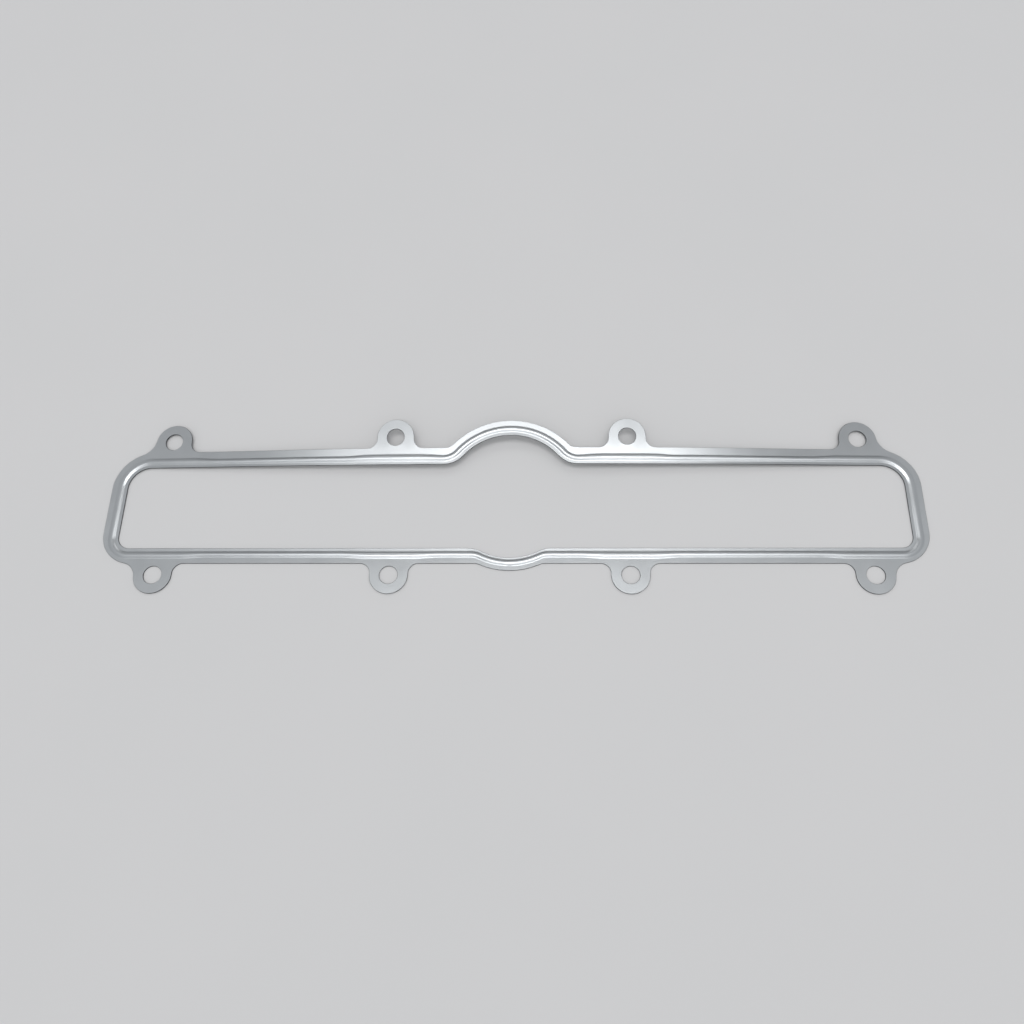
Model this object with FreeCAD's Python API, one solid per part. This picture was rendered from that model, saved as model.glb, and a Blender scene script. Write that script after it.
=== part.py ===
import FreeCAD, Part
import os
import math
from FreeCAD import Vector

os.makedirs("parts", exist_ok=True)

# A long gasket stamped from one thin steel sheet, lying loose on a flat surface.
# X runs along its length, +Y towards the larger inlet arch, Z up, all in millimetres.
# The origin is midway between the four corner bolts, on the surface under the sheet.

# Bolt pattern and lugs
bolt_span_x = 352.0
inner_span_x = 118.0
bolt_span_y = 71.6
bolt_hole_d = 9.0
lug_r = 9.5
lug_offset = 5.9
lug_blend_r = 5.0
far_corner_blend_r = 10.0
near_corner_blend_r = 7.5

# Frame round the opening: two long rails and two short legs
leg_reach = 28.6
leg_w = 8.1
far_rail_w = 8.6
near_rail_w = 7.9
far_corner_r = 11.0
near_corner_r = 6.0
far_corner_out_r = 19.5
near_corner_out_r = 16.0

# Round inlet, which bulges both rails into arches: how far each arch of the opening stands
# out beyond its rail's inner edge, and how wide the sheet is there
inlet_y = 4.0
far_arch_out = 15.2
near_arch_out = 5.0
far_arch_w = 7.8
near_arch_w = 6.5
inlet_blend_r = 13.0
arch_blend_r = 5.0

# Sheet and embossed bead, which is wider beside the bolts and round the corners
sheet_t = 0.45
bead_h = 0.5
bead_w = 3.3
bead_wide_w = 4.1
bead_inset = 1.45
bead_wide_reach = 13.0
bead_change_len = 10.0
bead_foot_share = 0.36
far_bead_gap = 3.4
near_bead_gap = 2.5

# The loose sheet has sprung: the far rail stands up in the middle, falls a little past the
# inner bolts and more steeply beyond them, and twists the legs
bow_rise = 4.8
inner_fall_deg = 0.9
leg_twist_deg = 2.0

# Working allowances: what each strip has beyond its trimmed edges
edge_spare = 1.2
flange_spare = 2.0
corner_spare = 22.0
blend_core = 0.6
patch_depth = 4.0
plan_drop = 3.0
touching = 1e-7
bow_steps = 3

# Sizes that follow from those above
bolt_x = bolt_span_x / 2
inner_x = inner_span_x / 2
bolt_y = bolt_span_y / 2
rail_out_y = bolt_y - lug_offset
leg_out_x = bolt_x + leg_reach
leg_in_x = leg_out_x - leg_w
far_in_y = rail_out_y - far_rail_w
near_in_y = -rail_out_y + near_rail_w
far_inlet_r = far_in_y - inlet_y + far_arch_out
near_inlet_r = inlet_y - near_in_y + near_arch_out
far_bead_r = far_inlet_r + far_bead_gap
near_bead_r = near_inlet_r + near_bead_gap
lug_cover = lug_offset + lug_r + flange_spare
bead_edge = bead_inset + bead_w / 2
far_bead_y = far_in_y + bead_edge
low = -plan_drop
high = bow_rise + bead_h + lug_cover


# Centre of the blend arc that touches a rail's level line and a ring about the inlet.
def blend_centre(line_y, blend_r, ring_r):
    side = 1.0 if line_y > inlet_y else -1.0
    cy = line_y + side * blend_r
    cx = math.sqrt((ring_r + blend_r) ** 2 - (cy - inlet_y) ** 2)
    return Vector(cx, cy, 0)


def heading(a, b):
    return math.degrees(math.atan2(b.y - a.y, b.x - a.x))


def mirrored(shape):
    return shape.mirror(Vector(0, 0, 0), Vector(1, 0, 0))


def upright(solid):
    return solid.reversed() if solid.Volume < 0 else solid


# Easing from 0 to 1 with level ends.
def ease(s):
    return s * s * (3 - 2 * s)


# Section through the sheet: level inner edge, one raised round bead, level outer edge.
# place(d, z) sets a point at distance d outward from the inner edge and height z.
def section(width, reach, place):
    half = width / 2
    mid = bead_inset + half
    slope = 2 * math.atan(bead_h / half)
    foot_r = bead_foot_share * half / math.sin(slope)

    def foot_point(side, lift, angle):
        r = foot_r - lift
        d = mid + side * (half - r * math.sin(angle))
        return place(d, sheet_t / 2 + foot_r - r * math.cos(angle))

    def foot_arc(side, lift, rising):
        points = [foot_point(side, lift, slope * k / 2) for k in (0, 1, 2)]
        if not rising:
            points.reverse()
        return Part.Arc(*points).toShape()

    edges = []
    for side, level in ((-1, 0.0), (1, sheet_t)):
        lift = level - sheet_t / 2
        start = place(-edge_spare if side < 0 else reach, level)
        stop = place(reach if side < 0 else -edge_spare, level)
        turn = place(reach if side < 0 else -edge_spare, sheet_t - level)
        first_foot = foot_point(side, lift, 0)
        last_foot = foot_point(-side, lift, 0)
        crown = place(mid, level + bead_h)
        edges.append(Part.makeLine(start, first_foot))
        edges.append(foot_arc(side, lift, True))
        rise_end = foot_point(side, lift, slope)
        fall_start = foot_point(-side, lift, slope)
        edges.append(Part.Arc(rise_end, crown, fall_start).toShape())
        edges.append(foot_arc(-side, lift, False))
        edges.append(Part.makeLine(last_foot, stop))
        edges.append(Part.makeLine(stop, turn))
    return Part.Wire(edges)


# A bend in the strip, swept about an upright axis from one heading to another.
def bend(centre, r0, side, a0, a1, width, reach):
    wire = section(width, reach, lambda d, z: Vector(r0 + side * d, 0, z))
    face = Part.Face(wire)
    face.rotate(Vector(0, 0, 0), Vector(0, 0, 1), a0)
    solid = face.revolve(Vector(0, 0, 0), Vector(0, 0, 1), a1 - a0)
    solid.translate(centre)
    return upright(solid)


# Strips along a rail or leg: a straight run of one width, or a loft through sections that
# are spaced evenly. One step gives an even taper or twist, more give a smooth bend.
def straight(frame_at, a, b, width, reach):
    wire = section(width, reach, frame_at(a))
    return upright(Part.Face(wire).extrude(frame_at(b)(0, 0) - frame_at(a)(0, 0)))


def lofted(frame_at, a, b, widths, steps, reach):
    wires = []
    for i in range(steps + 1):
        share = i / steps
        width = widths[0] + (widths[1] - widths[0]) * share
        wires.append(section(width, reach, frame_at(a + (b - a) * share)))
    return upright(Part.makeLoft(wires, True, False))


# A whole rail from its stations: place along it, bead width there, and the loft steps to the
# next station or none for a straight run.
def rail(frame_at, stations, reach):
    pieces = []
    for (a, width_a, steps), (b, width_b, later) in zip(stations, stations[1:]):
        if steps:
            pieces.append(lofted(frame_at, a, b, (width_a, width_b), steps, reach))
        else:
            pieces.append(straight(frame_at, a, b, width_a, reach))
    return pieces


# Paths of the bead round the inlet and the bends that lead into them
far_path_r = far_bead_r - bead_edge
near_path_r = near_bead_r - bead_edge
far_turn = blend_centre(far_in_y, inlet_blend_r, far_path_r)
near_turn = blend_centre(near_in_y, inlet_blend_r, near_path_r)
far_corner = Vector(leg_in_x - far_corner_r, far_in_y - far_corner_r, 0)
near_corner = Vector(leg_in_x - near_corner_r, near_in_y + near_corner_r, 0)

# Along a rail the bead is wide beside the inner bolt and from the corner bolt outwards. The
# far rail bends in the narrow stretch between them.
wide_start = inner_x - bead_wide_reach
wide_end = inner_x + bead_wide_reach
bow_start = wide_end + bead_change_len
corner_wide = bolt_x - bead_wide_reach
bow_end = corner_wide - bead_change_len

# The far rail's bead line: level round the arch, falling a little past the inner bolts, and
# at its end in the plane of the twisted corner. Between those it bends smoothly.
twist = math.radians(leg_twist_deg)
inner_fall = math.radians(inner_fall_deg)
bow_lean = math.atan(bow_rise / (far_bead_y - near_in_y))


def twisted(point, angle):
    c = math.cos(angle)
    s = math.sin(angle)
    x = point.x - leg_out_x
    return Vector(leg_out_x + x * c + point.z * s, point.y, point.z * c - x * s)


# Height at x on a smooth curve from one straight run into another, each given by the place
# where it ends, its height there and its fall per millimetre.
def curved(x, first, last):
    run = last[0] - first[0]
    s = (x - first[0]) / run
    ends = first[1] + (last[1] - first[1]) * ease(s)
    return ends - first[2] * run * s * (1 - s) ** 2 + last[2] * run * s * s * (1 - s)


def inner_rise(x):
    return bow_rise - math.tan(inner_fall) * (x - far_turn.x)


def bow_at(x):
    if x <= bow_start:
        return inner_rise(x), bow_lean
    end = twisted(Vector(bow_end, 0, 0), twist)
    share = (x - bow_start) / (bow_end - bow_start)
    rise = curved(x, (bow_start, inner_rise(bow_start), math.tan(inner_fall)),
                  (end.x, end.z, math.tan(twist)))
    return rise, bow_lean * (1 - ease(share))


def far_frame(x):
    if x >= bow_end:
        return lambda d, z: twisted(Vector(x, far_in_y + d, z), twist)
    rise, lean = bow_at(x)

    def place(d, z):
        y = d - bead_edge
        across = far_bead_y + y * math.cos(lean) - z * math.sin(lean)
        return Vector(x, across, rise + y * math.sin(lean) + z * math.cos(lean))
    return place


def near_frame(x):
    return lambda d, z: Vector(x, near_in_y - d, z)


# Along a leg the sheet twists about its outer edge, which stays on the surface.
def leg_frame(y):
    share = ease((y - near_corner.y) / (far_corner.y - near_corner.y))
    return lambda d, z: twisted(Vector(leg_in_x + d, y, z), twist * share)


# Both rails, right half. The far bead starts to widen where the bend beside the arch ends.
half = rail(far_frame, [(far_turn.x, bead_w, 1), (wide_start, bead_wide_w, 0),
                        (wide_end, bead_wide_w, 1), (bow_start, bead_w, bow_steps),
                        (bow_end, bead_w, 1), (corner_wide, bead_wide_w, 0),
                        (far_corner.x, bead_wide_w, 0)], far_rail_w + lug_cover)
half += rail(near_frame, [(near_turn.x, bead_w, 0), (wide_start - bead_change_len, bead_w, 1),
                          (wide_start, bead_wide_w, 0), (wide_end, bead_wide_w, 1),
                          (bow_start, bead_w, 0), (bow_end, bead_w, 1),
                          (corner_wide, bead_wide_w, 0), (near_corner.x, bead_wide_w, 0)],
             near_rail_w + lug_cover)

# Corners and leg. The far corner lies in the plane that the twisted leg ends in.
corner_reach = leg_w + corner_spare
half.append(bend(near_corner, near_corner_r, 1, -90, 0, bead_wide_w, corner_reach))
wide = (bead_wide_w, bead_wide_w)
half.append(lofted(leg_frame, near_corner.y, far_corner.y, wide, 1, leg_w + flange_spare))
far_bend = bend(far_corner, far_corner_r, 1, 0, 90, bead_wide_w, corner_reach)
far_bend.rotate(Vector(leg_out_x, 0, 0), Vector(0, 1, 0), leg_twist_deg)
half.append(far_bend)

# Near arch and its bends
blend_reach = inlet_blend_r - blend_core
inlet = Vector(0, inlet_y, 0)
near_angle = heading(inlet, near_turn)
half.append(bend(near_turn, inlet_blend_r, -1, 90, 180 + near_angle, bead_w, blend_reach))
strips = [bend(inlet, near_path_r, 1, -180 - near_angle, near_angle, bead_w, blend_reach)]

# Far arch and its bends: made level, then leaned about the bead line and lifted
far_angle = heading(inlet, far_turn)
arch = bend(inlet, far_path_r, 1, far_angle, 180 - far_angle, bead_w, blend_reach)
arch_side = bend(far_turn, inlet_blend_r, -1, 180 + far_angle, 270, bead_w, blend_reach)
for piece in (arch, arch_side):
    piece.rotate(Vector(0, far_bead_y, 0), Vector(1, 0, 0), math.degrees(bow_lean))
    piece.translate(Vector(0, 0, bow_rise))
strips.append(arch)
half.append(arch_side)
strips.extend(half)
strips.extend([mirrored(piece) for piece in half])


# Upright prism inside a closed chain of points and arcs (centre, radius, two headings).
def on_arc(centre, r, deg):
    turn = math.radians(deg)
    return Vector(centre.x + r * math.cos(turn), centre.y + r * math.sin(turn), low)


def prism(chain):
    edges = []
    ends = []
    for item in chain:
        if isinstance(item, tuple):
            centre, r, a0, a1 = item
            points = [on_arc(centre, r, a) for a in (a0, (a0 + a1) / 2, a1)]
            edge = Part.Arc(*points).toShape()
        else:
            points = [Vector(item.x, item.y, low)]
            edge = None
        if ends and (points[0] - ends[-1]).Length > touching:
            edges.append(Part.makeLine(ends[-1], points[0]))
        if edge is not None:
            edges.append(edge)
        ends.extend([points[0], points[-1]])
    edges.append(Part.makeLine(ends[-1], ends[0]))
    return upright(Part.Face(Part.Wire(edges)).extrude(Vector(0, 0, high - low)))


# One closed edge of the frame: both rails, both arches and four corners.
def frame_outline(corner_far, r_far, corner_near, r_near, far_y, near_y, rings, blend_r):
    far_c = blend_centre(far_y, blend_r, rings[0])
    near_c = blend_centre(near_y, blend_r, rings[1])
    far_a = heading(inlet, far_c)
    near_a = heading(inlet, near_c)
    flip = lambda v: Vector(-v.x, v.y, 0)
    return prism([
        (flip(far_c), blend_r, -90, -far_a),
        (inlet, rings[0], 180 - far_a, far_a),
        (far_c, blend_r, 180 + far_a, 270),
        (corner_far, r_far, 90, 0),
        (corner_near, r_near, 0, -90),
        (near_c, blend_r, 90, 180 + near_a),
        (inlet, rings[1], near_a, -180 - near_a),
        (flip(near_c), blend_r, -near_a, 90),
        (flip(corner_near), r_near, -90, -180),
        (flip(corner_far), r_far, 180, 90),
    ])


far_out = Vector(leg_out_x - far_corner_out_r, rail_out_y - far_corner_out_r, 0)
near_out = Vector(leg_out_x - near_corner_out_r, near_corner_out_r - rail_out_y, 0)
opening = frame_outline(far_corner, far_corner_r, near_corner, near_corner_r,
                        far_in_y, near_in_y, (far_inlet_r, near_inlet_r), inlet_blend_r)
outside = frame_outline(far_out, far_corner_out_r, near_out, near_corner_out_r,
                        rail_out_y, -rail_out_y,
                        (far_inlet_r + far_arch_w, near_inlet_r + near_arch_w), arch_blend_r)


# Centre of a blend arc beside a lug: against the rail's straight edge, or a corner's arc.
def rail_blend(lug, side):
    cy = math.copysign(rail_out_y + lug_blend_r, lug.y)
    cx = math.sqrt((lug_r + lug_blend_r) ** 2 - (lug.y - cy) ** 2)
    return Vector(lug.x + side * cx, cy, 0)


def corner_blend(lug, corner, corner_r, blend_r):
    gap = corner - lug
    ra = lug_r + blend_r
    rb = corner_r + blend_r
    along = (gap.Length ** 2 + ra * ra - rb * rb) / (2 * gap.Length)
    unit = gap * (1 / gap.Length)
    normal = Vector(abs(unit.y), -math.copysign(1, unit.y) * unit.x, 0)
    return lug + unit * along + normal * math.sqrt(ra * ra - along * along)


# Plan of a lug: up one blend, round the lug, down the other blend, and back in the rail.
def inner_lug(row):
    lug = Vector(inner_x, row * bolt_y, 0)
    before = rail_blend(lug, -1)
    after = rail_blend(lug, 1)
    turn = heading(before, lug)
    back_y = row * (rail_out_y - patch_depth)
    return prism([
        Vector(before.x, back_y, 0),
        (before, lug_blend_r, -90 * row, turn),
        (lug, lug_r, 180 * row + turn, -turn),
        (after, lug_blend_r, 180 * row - turn, 270 * row),
        Vector(after.x, back_y, 0),
    ])


def corner_lug(row, corner, corner_r, blend_r):
    lug = Vector(bolt_x, row * bolt_y, 0)
    before = rail_blend(lug, -1)
    after = corner_blend(lug, corner, corner_r, blend_r)
    turn = heading(before, lug)
    to_lug = heading(after, lug) % (360 * row)
    to_corner = heading(after, corner) % (360 * row)
    return prism([
        Vector(before.x, row * (rail_out_y - patch_depth), 0),
        (before, lug_blend_r, -90 * row, turn),
        (lug, lug_r, 180 * row + turn, to_lug - 180 * row),
        (after, blend_r, to_lug, to_corner),
        corner,
    ])


lugs = [inner_lug(1), inner_lug(-1),
        corner_lug(1, far_out, far_corner_out_r, far_corner_blend_r),
        corner_lug(-1, near_out, near_corner_out_r, near_corner_blend_r)]
lugs.extend([mirrored(lug) for lug in lugs])
drills = []
for x in (-bolt_x, -inner_x, inner_x, bolt_x):
    for y in (-bolt_y, bolt_y):
        drills.append(Part.makeCylinder(bolt_hole_d / 2, high - low, Vector(x, y, low)))
plan = outside.fuse(lugs).cut(opening).cut(drills)

# Trim every strip to the plan and join them into the one stamped sheet
trimmed = [strip.common(plan) for strip in strips]
sheet = trimmed[0].fuse(trimmed[1:]).removeSplitter()
if len(sheet.Solids) == 1:
    sheet = sheet.Solids[0]
box = sheet.optimalBoundingBox(False)
print("solids", len(sheet.Solids), "valid", sheet.isValid(), "faces", len(sheet.Faces))
print("volume", round(sheet.Volume, 1), "mm3, lowest point", round(box.ZMin, 4))
print("size", round(box.XLength, 2), round(box.YLength, 2), round(box.ZLength, 2))
sheet.exportStep("parts/gasket.step")
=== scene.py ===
import math
import bmesh
import bpy
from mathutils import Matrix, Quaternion, Vector


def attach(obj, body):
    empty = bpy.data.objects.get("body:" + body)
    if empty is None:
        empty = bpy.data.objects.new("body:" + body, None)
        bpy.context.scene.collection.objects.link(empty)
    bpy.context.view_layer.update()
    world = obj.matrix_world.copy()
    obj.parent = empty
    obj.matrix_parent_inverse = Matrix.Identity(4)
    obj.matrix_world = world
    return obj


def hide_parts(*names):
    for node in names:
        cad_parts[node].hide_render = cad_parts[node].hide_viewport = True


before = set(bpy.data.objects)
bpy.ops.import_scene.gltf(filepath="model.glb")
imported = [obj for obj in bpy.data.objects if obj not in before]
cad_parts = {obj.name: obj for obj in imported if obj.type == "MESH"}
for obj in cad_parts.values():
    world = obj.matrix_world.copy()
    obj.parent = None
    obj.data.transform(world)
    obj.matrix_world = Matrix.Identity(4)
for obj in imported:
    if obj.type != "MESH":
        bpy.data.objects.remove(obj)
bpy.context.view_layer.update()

# Gasket sheet: one thin sheet of coated steel, stamped out as a long frame with eight bolt
# lugs, with a round sealing bead pressed all the way round it. It lies loose, and the far
# side has sprung up from the table. All sizes are in millimetres until the sheet is whole.
INLET, INLET_BLEND = Vector((0, 4.0, 0)), 13.0
FAR_IN, NEAR_IN = 21.3, -22.0
FAR_CORNER, NEAR_CORNER = Vector((185.5, 10.3, 0)), Vector((190.5, -16.0, 0))
FAR_BEAD_RING, NEAR_BEAD_RING, BEAD_EDGE = 32.8, 30.4, 1.45


def heading(a, b):
    return math.degrees(math.atan2(b.y - a.y, b.x - a.x))


# Centre of the bend that leads from a rail's straight line into a ring about the inlet.
def bend_centre(line_y, bend, ring):
    y = line_y + math.copysign(bend, line_y)
    return Vector((math.sqrt((ring + bend) ** 2 - (y - INLET.y) ** 2), y, 0))


def pick(obj, wanted):
    mesh = bmesh.from_edit_mesh(obj.data)
    for vert in mesh.verts:
        vert.select = wanted(vert.co)
    mesh.select_flush(False)
    mesh.select_flush(True)
    bmesh.update_edit_mesh(obj.data)


def draw_on(dx, dy, row=math.inf):
    rows = max(1, round(math.hypot(dx, dy) / row))
    for _ in range(rows):
        bpy.ops.mesh.extrude_region_move(
            TRANSFORM_OT_translate={"value": (dx / rows, dy / rows, 0)})


def turn_on(centre, degrees, step):
    bpy.ops.mesh.spin(steps=max(2, round(abs(degrees) / step)), angle=-math.radians(degrees),
                      center=centre, axis=(0, 0, 1))


# The right half is drawn first, as a flat strip with lines along it where the bead will be.
# It starts on the near rail and goes round both corners to the far rail, wide enough for the
# lugs, and from there only its narrow part goes on into the two arches.
STRIP_X, ROW, CORNER_STEP, INLET_STEP = 40.0, 1.25, 3, 1.5
SPARE, HEM, BEAD_ROW, FLANGE, NARROW, WIDE = -1.2, 1.05, 0.2, 6.4, 11.0, 26.0
lines = [SPARE, HEM] + [BEAD_EDGE + BEAD_ROW * i for i in range(22)] + [FLANGE, NARROW, WIDE]
bpy.ops.object.select_all(action="DESELECT")
bpy.ops.mesh.primitive_plane_add(size=1)
sheet = bpy.context.object
sheet.name = "gasket_sheet"
bpy.ops.object.mode_set(mode="EDIT")
bpy.ops.transform.resize(value=(ROW, WIDE - SPARE, 1))
bpy.ops.transform.translate(value=(STRIP_X + ROW / 2, NEAR_IN - (SPARE + WIDE) / 2, 0))
for line in lines[1:-1]:
    bpy.ops.mesh.select_all(action="SELECT")
    bpy.ops.mesh.bisect(plane_co=(0, NEAR_IN - line, 0), plane_no=(0, 1, 0))
pick(sheet, lambda p: p.x > STRIP_X + ROW / 2)
draw_on(NEAR_CORNER.x - STRIP_X - ROW, 0, ROW)
turn_on(NEAR_CORNER, 90, CORNER_STEP)
draw_on(0, FAR_CORNER.y - NEAR_CORNER.y, ROW)
turn_on(FAR_CORNER, 90, CORNER_STEP)
draw_on(STRIP_X - FAR_CORNER.x, 0, ROW)
far_bend = bend_centre(FAR_IN, INLET_BLEND, FAR_BEAD_RING)
near_bend = bend_centre(NEAR_IN, INLET_BLEND, NEAR_BEAD_RING)
far_lean = 90 - heading(INLET, far_bend)
near_lean = 90 + heading(INLET, near_bend)
pick(sheet, lambda p: p.x < STRIP_X + 0.01 and 0 < p.y < FAR_IN + NARROW + 0.1)
draw_on(far_bend.x - STRIP_X, 0, ROW)
turn_on(far_bend, -far_lean, CORNER_STEP)
turn_on(INLET, far_lean, INLET_STEP)
pick(sheet, lambda p: abs(p.x - STRIP_X) < 0.01 and NEAR_IN - NARROW - 0.1 < p.y < 0)
draw_on(near_bend.x - STRIP_X, 0, ROW)
turn_on(near_bend, near_lean, CORNER_STEP)
turn_on(INLET, -near_lean, INLET_STEP)
bpy.ops.mesh.select_all(action="SELECT")
bpy.ops.mesh.remove_doubles(threshold=0.001)
bpy.ops.object.mode_set(mode="OBJECT")
if sheet.data.polygons[0].normal.z < 0:
    sheet.data.flip_normals()

# The bead is pressed up: a round crown between two feet that curve into the sheet, which the
# pressing has drawn up by little more than a degree on either side. It widens beside the
# inner bolts and from the corner bolts outwards.
LEG_OUT, LEG_IN = 204.6, 196.5
SHEET, BEAD_RISE, FOOT = 0.45, 0.5, 0.36
DRAWN_UP, FAR_DRAW, NEAR_DRAW = 0.022, 6, 20


# How far outward a place is from the opening's edge, which the bead follows.
def from_inner_edge(p):
    side, corner, edge_y, bend, ring, lean = (
        (1, FAR_CORNER, FAR_IN, far_bend, FAR_BEAD_RING, far_lean) if p.y > INLET.y
        else (-1, NEAR_CORNER, NEAR_IN, near_bend, NEAR_BEAD_RING, near_lean))
    if p.x > corner.x and side * (p.y - corner.y) > 0:
        return math.hypot(p.x - corner.x, p.y - corner.y) - (LEG_IN - corner.x)
    if p.x > corner.x:
        return p.x - LEG_IN
    if p.x > bend.x:
        return side * (p.y - edge_y)
    if 90 - side * heading(INLET, p) > lean:
        return INLET_BLEND - math.hypot(p.x - bend.x, p.y - bend.y)
    return math.hypot(p.x - INLET.x, p.y - INLET.y) - ring


def bead_width(p):
    narrow, wide = 3.3, 4.1
    start = far_bend.x if p.y > 0 else 36.0
    stations = [(start, narrow), (46, wide), (72, wide), (82, narrow), (153, narrow),
                (163, wide), (LEG_OUT, wide)]
    for (x0, w0), (x1, w1) in zip(stations, stations[1:]):
        if x0 < p.x <= x1:
            return w0 + (w1 - w0) * (p.x - x0) / (x1 - x0)
    return narrow if p.x <= start else wide


for vert in sheet.data.vertices:
    half = bead_width(vert.co) / 2
    off = abs(from_inner_edge(vert.co) - BEAD_EDGE - half)
    slope = 2 * math.atan(BEAD_RISE / half)
    foot_r = FOOT * half / math.sin(slope)
    foot_top = foot_r * (1 - math.cos(slope))
    left = BEAD_RISE - foot_top
    crown_r = (((1 - FOOT) * half) ** 2 + left ** 2) / (2 * left)
    lift = DRAWN_UP * min(off - half, FAR_DRAW if vert.co.y > 0 else NEAR_DRAW)
    if off < half * (1 - FOOT):
        lift = BEAD_RISE - crown_r + math.sqrt(crown_r ** 2 - off ** 2)
    elif off < half:
        lift = foot_r - math.sqrt(foot_r ** 2 - (half - off) ** 2)
    vert.co.z = SHEET / 2 + lift
bpy.context.view_layer.objects.active = sheet
thicken = sheet.modifiers.new("thickness", "SOLIDIFY")
thicken.thickness = SHEET
thicken.offset = 0
thicken.use_even_offset = True
bpy.ops.object.modifier_apply(modifier=thicken.name)

# The blanking tool: an upright wall is carried round the plan of the half sheet, outside
# first, lugs and all, and back along the opening, then closed and given its four bolt holes.
BOLT_X, INNER_X, BOLT_Y, HOLE_R = 176.0, 59.0, 35.8, 4.5
LUG_R, LUG_BLEND, FAR_CORNER_BLEND, NEAR_CORNER_BLEND = 9.5, 5.0, 10.0, 7.5
RAIL_OUT, ARCH_BLEND = 29.9, 5.0
FAR_RING, NEAR_RING = (32.5, 40.3), (31.0, 37.5)
FAR_OUTSIDE, FAR_OUTSIDE_R = Vector((185.1, 10.4, 0)), 19.5
NEAR_OUTSIDE, NEAR_OUTSIDE_R = Vector((188.6, -13.9, 0)), 16.0
TOOL_TALL, DRILL_LONG, HOLE_SIDES = 12, 30, 96
bpy.ops.object.select_all(action="DESELECT")
bpy.ops.mesh.primitive_plane_add(size=1, rotation=(0, math.radians(90), 0))
tool = bpy.context.object
tool.name = "blanking_tool"
bpy.ops.object.transform_apply(location=False, rotation=True, scale=False)
bpy.ops.object.mode_set(mode="EDIT")
bpy.ops.transform.resize(value=(1, NEAR_RING[1] - NEAR_RING[0], TOOL_TALL))
bpy.ops.transform.translate(value=(0, INLET.y - sum(NEAR_RING) / 2, 0))
pick(tool, lambda p: p.y < INLET.y - sum(NEAR_RING) / 2)
at = Vector((0, INLET.y - NEAR_RING[1], 0))


def wall_to(x, y):
    global at
    draw_on(x - at.x, y - at.y)
    at = Vector((x, y, 0))


# Round a centre to a heading, anticlockwise with way 1, in steps of about 1.6 mm.
def wall_round(centre, stop, way):
    global at
    sweep = way * (way * (stop - heading(centre, at)) % 360)
    turn_on(centre, sweep, 90 / max(8, (at - centre).length))
    reach = (at - centre).length
    turn = math.radians(stop)
    at = centre + Vector((reach * math.cos(turn), reach * math.sin(turn), 0))


# Centre of the round in the corner between a lug and the rail, or a lug and a corner.
def lug_bend(lug, side):
    y = math.copysign(RAIL_OUT + LUG_BLEND, lug.y)
    return Vector((lug.x + side * math.sqrt((LUG_R + LUG_BLEND) ** 2 - (lug.y - y) ** 2), y, 0))


def corner_bend(lug, corner, corner_r, bend):
    gap = corner - lug
    a, b = LUG_R + bend, corner_r + bend
    along = (gap.length_squared + a * a - b * b) / (2 * gap.length)
    unit = gap.normalized()
    normal = Vector((abs(unit.y), -math.copysign(1, unit.y) * unit.x, 0))
    return lug + unit * along + normal * math.sqrt(a * a - along * along)


near_out = bend_centre(-RAIL_OUT, ARCH_BLEND, NEAR_RING[1])
wall_round(INLET, heading(INLET, near_out), 1)
wall_round(near_out, 90, -1)
lug = Vector((INNER_X, -BOLT_Y, 0))
wall_to(lug_bend(lug, -1).x, -RAIL_OUT)
wall_round(lug_bend(lug, -1), heading(lug_bend(lug, -1), lug), -1)
wall_round(lug, heading(lug, lug_bend(lug, 1)), 1)
wall_round(lug_bend(lug, 1), 90, -1)
lug = Vector((BOLT_X, -BOLT_Y, 0))
bend = lug_bend(lug, -1)
corner = corner_bend(lug, NEAR_OUTSIDE, NEAR_OUTSIDE_R, NEAR_CORNER_BLEND)
wall_to(bend.x, -RAIL_OUT)
wall_round(bend, heading(bend, lug), -1)
wall_round(lug, heading(lug, corner), 1)
wall_round(corner, heading(corner, NEAR_OUTSIDE), -1)
wall_round(NEAR_OUTSIDE, 0, 1)
wall_to(LEG_OUT, FAR_OUTSIDE.y)
lug = Vector((BOLT_X, BOLT_Y, 0))
bend = lug_bend(lug, -1)
corner = corner_bend(lug, FAR_OUTSIDE, FAR_OUTSIDE_R, FAR_CORNER_BLEND)
wall_round(FAR_OUTSIDE, heading(FAR_OUTSIDE, corner), 1)
wall_round(corner, heading(corner, lug), -1)
wall_round(lug, heading(lug, bend), 1)
wall_round(bend, -90, -1)
lug = Vector((INNER_X, BOLT_Y, 0))
wall_to(lug_bend(lug, 1).x, RAIL_OUT)
wall_round(lug_bend(lug, 1), heading(lug_bend(lug, 1), lug), -1)
wall_round(lug, heading(lug, lug_bend(lug, -1)), 1)
wall_round(lug_bend(lug, -1), -90, -1)
far_out = bend_centre(RAIL_OUT, ARCH_BLEND, FAR_RING[1])
wall_to(far_out.x, RAIL_OUT)
wall_round(far_out, heading(far_out, INLET), -1)
wall_round(INLET, 90, 1)
wall_to(0, INLET.y + FAR_RING[0])
far_in = bend_centre(FAR_IN, INLET_BLEND, FAR_RING[0])
near_in = bend_centre(NEAR_IN, INLET_BLEND, NEAR_RING[0])
wall_round(INLET, heading(INLET, far_in), -1)
wall_round(far_in, -90, 1)
wall_to(FAR_CORNER.x, FAR_IN)
wall_round(FAR_CORNER, 0, -1)
wall_to(LEG_IN, NEAR_CORNER.y)
wall_round(NEAR_CORNER, -90, -1)
wall_to(near_in.x, NEAR_IN)
wall_round(near_in, heading(near_in, INLET), 1)
wall_round(INLET, -90, -1)
bpy.ops.mesh.select_all(action="SELECT")
bpy.ops.mesh.remove_doubles(threshold=0.001)
bpy.ops.mesh.fill_holes(sides=0)
bpy.ops.mesh.normals_make_consistent(inside=False)
bpy.ops.object.mode_set(mode="OBJECT")
bpy.ops.object.select_all(action="DESELECT")
drills = []
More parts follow.
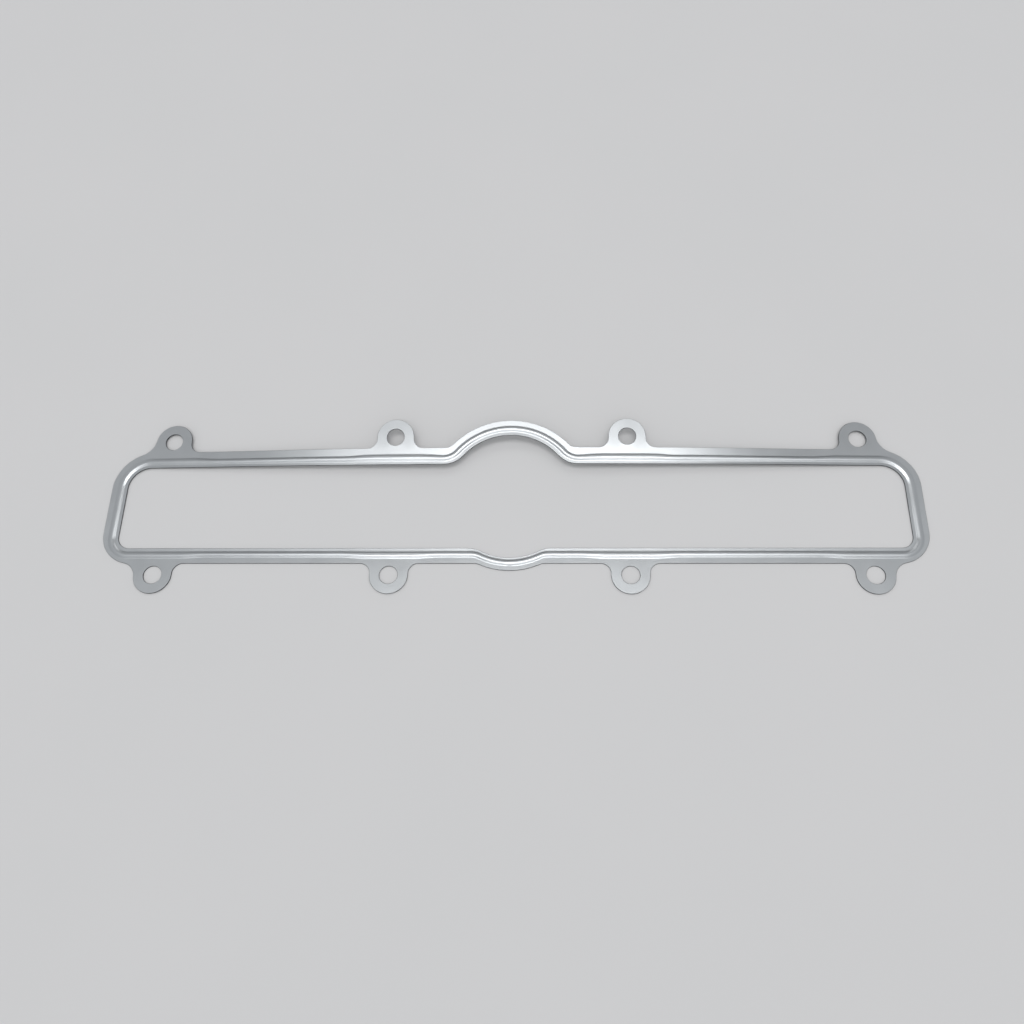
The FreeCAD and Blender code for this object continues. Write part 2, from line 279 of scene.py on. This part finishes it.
for x in (INNER_X, BOLT_X):
    for y in (-BOLT_Y, BOLT_Y):
        bpy.ops.mesh.primitive_cylinder_add(vertices=HOLE_SIDES, radius=HOLE_R,
                                            depth=DRILL_LONG, location=(x, y, 0))
        drills.append(bpy.context.object)
for drill in drills:
    drill.select_set(True)
bpy.context.view_layer.objects.active = drills[0]
bpy.ops.object.join()
bpy.ops.object.transform_apply(location=True, rotation=True, scale=True)
drill = bpy.context.object
for body, other, operation in ((tool, drill, "DIFFERENCE"), (sheet, tool, "INTERSECT")):
    blank = body.modifiers.new("blanking", "BOOLEAN")
    blank.object = other
    blank.operation = operation
    blank.solver = "EXACT"
    bpy.context.view_layer.objects.active = body
    bpy.ops.object.modifier_apply(modifier=blank.name)
    bpy.data.objects.remove(other)

# The half is opened where the two halves meet, mirrored, and its punched edges are eased.
# Its points are first rounded to 0.1 micrometre and put in order, so that every run of this
# script merges the same ones, and points that the cut left too close together become one.
TOO_CLOSE, SEAM, EASED = 0.14, 0.09, 0.12
bpy.ops.object.select_all(action="DESELECT")
sheet.select_set(True)
bpy.context.view_layer.objects.active = sheet
for vert in sheet.data.vertices:
    vert.co = [round(part, 4) for part in vert.co]
bpy.ops.object.mode_set(mode="EDIT")
bpy.ops.mesh.select_all(action="SELECT")
bpy.ops.mesh.sort_elements(type="CURSOR_DISTANCE", elements={"VERT", "EDGE", "FACE"})
bpy.ops.mesh.remove_doubles(threshold=TOO_CLOSE)
bpy.ops.mesh.dissolve_degenerate(threshold=0.02)
bpy.ops.object.mode_set(mode="OBJECT")
for vert in sheet.data.vertices:
    if abs(vert.co.x) < SEAM:
        vert.co.x = 0
bpy.ops.object.mode_set(mode="EDIT")
bpy.ops.mesh.select_mode(type="FACE")
bpy.ops.mesh.select_all(action="DESELECT")
shell = bmesh.from_edit_mesh(sheet.data)
for face in shell.faces:
    face.select = all(vert.co.x == 0 for vert in face.verts)
bmesh.update_edit_mesh(sheet.data)
bpy.ops.mesh.delete(type="FACE")
bpy.ops.mesh.select_mode(type="VERT")
bpy.ops.object.mode_set(mode="OBJECT")
for kind, settings in (
        ("MIRROR", {"merge_threshold": 0.005}),
        ("BEVEL", {"width": EASED, "segments": 1, "limit_method": "ANGLE",
                   "angle_limit": math.radians(60), "loop_slide": False,
                   "use_clamp_overlap": False})):
    made = sheet.modifiers.new(kind.lower(), kind)
    for name, value in settings.items():
        setattr(made, name, value)
    bpy.ops.object.modifier_apply(modifier=made.name)

# The sprung sheet: the near side lies flat on the table, the legs twist, and the far side
# leans back and stands highest in the middle. Past the inner bolts its lean dies away.
MIDDLE_RISE, MIDDLE_Y, ACROSS = 4.8, 24.4, 46.4
LEG_FALL, FAR_FALL = math.tan(math.radians(2)), math.tan(math.radians(0.9))
LEAN_STOPS, END_STARTS = 82, 153


# How high it stands above the table at a place.
def stand(p):
    x = abs(p.x)
    if p.y < NEAR_CORNER.y:
        return 0
    if x > FAR_CORNER.x and p.y < FAR_CORNER.y:
        share = (p.y - NEAR_CORNER.y) / (FAR_CORNER.y - NEAR_CORNER.y)
        return (LEG_OUT - x) * LEG_FALL * share
    if x > END_STARTS:
        return (LEG_OUT - x) * LEG_FALL
    lean = math.atan(MIDDLE_RISE / ACROSS)
    rise = MIDDLE_RISE - FAR_FALL * max(0, x - far_bend.x)
    if x > LEAN_STOPS:
        span = END_STARTS - LEAN_STOPS
        s = (x - LEAN_STOPS) / span
        eased = s * s * (3 - 2 * s)
        first = MIDDLE_RISE - FAR_FALL * (LEAN_STOPS - far_bend.x)
        last = (LEG_OUT - END_STARTS) * LEG_FALL
        rise = first + (last - first) * eased - FAR_FALL * span * s * (1 - s) ** 2 \
            + LEG_FALL * span * s * s * (1 - s)
        lean *= 1 - eased
    return rise + (p.y - MIDDLE_Y) * math.tan(lean)


for vert in sheet.data.vertices:
    vert.co.z += stand(vert.co)
    vert.co *= 0.001
bpy.ops.object.shade_smooth_by_angle(angle=math.radians(30))
weigh = sheet.modifiers.new("weighted_normals", "WEIGHTED_NORMAL")
weigh.keep_sharp = True
bpy.ops.object.modifier_apply(modifier=weigh.name)


def colour(code):
    parts = [int(code[i:i + 2], 16) / 255 for i in (1, 3, 5)]
    return [p / 12.92 if p <= 0.04045 else ((p + 0.055) / 1.055) ** 2.4 for p in parts] + [1]


def node(tree, kind, inputs=None, **settings):
    made = tree.nodes.new(kind)
    for name, value in settings.items():
        setattr(made, name, value)
    for name, value in (inputs or {}).items():
        if isinstance(value, bpy.types.NodeSocket):
            tree.links.new(value, made.inputs[name])
        else:
            made.inputs[name].default_value = value
    return made


# Coated steel: cold-rolled sheet under a thin grey coating that was rolled on and baked, so
# it is satin and even, with a faint cloudiness and a fine grain that softens reflections.
CLOUD, GRAIN = 0.009, 0.0005
coated = bpy.data.materials.new("satin_coated_steel")
coated.use_nodes = True
tree = coated.node_tree
tree.nodes.clear()
place = node(tree, "ShaderNodeTexCoord").outputs["Object"]
clouds = node(tree, "ShaderNodeTexNoise", {"Vector": place, "Scale": 1 / CLOUD, "Detail": 3.0})
grain = node(tree, "ShaderNodeTexNoise", {"Vector": place, "Scale": 1 / GRAIN, "Detail": 2.0})
shade = node(tree, "ShaderNodeMix", {"Factor": clouds.outputs["Fac"],
                                     "A": colour("#B1B4B6"), "B": colour("#B9BCBE")},
             data_type="RGBA")
gloss = node(tree, "ShaderNodeMapRange", {"Value": clouds.outputs["Fac"], "From Min": 0.3,
                                          "From Max": 0.7, "To Min": 0.28, "To Max": 0.3})
bump = node(tree, "ShaderNodeBump", {"Height": grain.outputs["Fac"], "Strength": 0.05,
                                     "Distance": 0.00004})
skin = node(tree, "ShaderNodeBsdfPrincipled", {
    "Base Color": shade.outputs["Result"], "Metallic": 1.0,
    "Roughness": gloss.outputs["Result"], "Normal": bump.outputs["Normal"]})
node(tree, "ShaderNodeOutputMaterial", {"Surface": skin.outputs["BSDF"]})
sheet.data.materials.append(coated)

# Sheared edge: where the sheet was punched there is no coating, only bare steel drawn into
# fine upright lines, duller than the face. Its colour is far darker than bare steel: painted
# shade for the dark line of shadow along the sheet's edges. It goes on every face steeper
# than about 41 degrees, the punched walls and their eased corners alike.
MARK, TALLER, STEEPEST_FACE = 0.0003, 0.1, 0.75
edge = bpy.data.materials.new("sheared_edge_painted_shade")
edge.use_nodes = True
tree = edge.node_tree
tree.nodes.clear()
place = node(tree, "ShaderNodeTexCoord").outputs["Object"]
drawn = node(tree, "ShaderNodeMapping", {"Vector": place, "Scale": (1, 1, TALLER)})
marks = node(tree, "ShaderNodeTexNoise", {"Vector": drawn.outputs["Vector"],
                                          "Scale": 1 / MARK})
# near-black base: bare steel's own dullness plus painted shade for the shadow line at the edges
shade = node(tree, "ShaderNodeMix", {"Factor": marks.outputs["Fac"],
                                     "A": colour("#303335"), "B": colour("#404446")},
             data_type="RGBA")
skin = node(tree, "ShaderNodeBsdfPrincipled", {
    "Base Color": shade.outputs["Result"], "Metallic": 1.0, "Roughness": 0.48})
node(tree, "ShaderNodeOutputMaterial", {"Surface": skin.outputs["BSDF"]})
sheet.data.materials.append(edge)
for face in sheet.data.polygons:
    if abs(face.normal.z) < STEEPEST_FACE:
        face.material_index = 1
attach(sheet, "root")
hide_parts("gasket")

# Table: a plain pale sheet of card that the gasket lies on, matt and even, with only a faint
# haze in its colour. It is the stage and no part of the gasket.
TABLE, HAZE = 12, 0.12
bpy.ops.object.select_all(action="DESELECT")
bpy.ops.mesh.primitive_plane_add(size=TABLE)
floor = bpy.context.object
floor.name = "table"
card = bpy.data.materials.new("matt_card")
card.use_nodes = True
tree = card.node_tree
tree.nodes.clear()
place = node(tree, "ShaderNodeTexCoord").outputs["Object"]
haze = node(tree, "ShaderNodeTexNoise", {"Vector": place, "Scale": 1 / HAZE, "Detail": 3.0})
shade = node(tree, "ShaderNodeMix", {"Factor": haze.outputs["Fac"],
                                     "A": colour("#C8C8C8"), "B": colour("#CCCBCB")},
             data_type="RGBA")
skin = node(tree, "ShaderNodeBsdfPrincipled", {
    "Base Color": shade.outputs["Result"], "Roughness": 0.85})
node(tree, "ShaderNodeOutputMaterial", {"Surface": skin.outputs["BSDF"]})
floor.data.materials.append(card)

# Light: a dim pale room, lighter towards its two sides and its front, and soft panels three
# metres off: a wide one above with a brighter one before it, one low in front and a weak one
# behind.
world = bpy.data.worlds.new("studio")
bpy.context.scene.world = world
world.use_nodes = True
tree = world.node_tree
tree.nodes.clear()
way = node(tree, "ShaderNodeTexCoord").outputs["Generated"]
split = node(tree, "ShaderNodeSeparateXYZ", {"Vector": way})
side = node(tree, "ShaderNodeMath", {0: split.outputs["X"]}, operation="ABSOLUTE")
front = node(tree, "ShaderNodeMath", {0: split.outputs["Y"], 1: -0.35,
                                      2: side.outputs["Value"]}, operation="MULTIPLY_ADD")
level = node(tree, "ShaderNodeMapRange", {"Value": front.outputs["Value"], "From Min": 0.05,
                                          "From Max": 0.36, "To Min": 0.28, "To Max": 0.68})
room = node(tree, "ShaderNodeBackground", {"Color": colour("#F7F9FC"),
                                           "Strength": level.outputs["Result"]})
node(tree, "ShaderNodeOutputWorld", {"Surface": room.outputs["Background"]})
for name, back_tilt, far, width, depth, watts in (("top_panel", 1.1, 2.9, 1.25, 1.14, 14.2),
                                                  ("wide_panel", 1.1, 3.0, 2.9, 1.18, 17.8),
                                                  ("front_panel", -29, 3.0, 2.3, 0.52, 10.5),
                                                  ("back_panel", 42, 3.0, 2.2, 0.84, 7.0)):
    tilt = math.radians(back_tilt)
    bpy.ops.object.light_add(type="AREA", rotation=(-tilt, 0, 0), location=(
        0, far * math.sin(tilt), far * math.cos(tilt)))
    panel = bpy.context.object
    panel.name = name
    panel.data.shape = "RECTANGLE"
    panel.data.size = width
    panel.data.size_y = depth
    panel.data.energy = watts

# Camera: it looks down from in front, a little to the right, as in the photograph, and a
# small shift frames the gasket as there.
elevation, yaw, roll = math.radians(70.495), math.radians(5.2), math.radians(-4.985)
looked_at, away = Vector((0.009615, -0.01202, 0)), 0.38697
back = Vector((math.sin(yaw) * math.cos(elevation), -math.cos(yaw) * math.cos(elevation),
               math.sin(elevation)))
bpy.ops.object.camera_add(location=looked_at + back * away)
camera = bpy.context.object
camera.rotation_mode = "QUATERNION"
camera.rotation_quaternion = (-back).to_track_quat("-Z", "Y") @ Quaternion((0, 0, 1), roll)
camera.data.sensor_width = 36
camera.data.lens = 27.42
camera.data.shift_x = -0.0169
camera.data.shift_y = 0.0168
camera.data.clip_start = 0.01
bpy.context.scene.camera = camera
bpy.context.scene.view_settings.view_transform = "Standard"
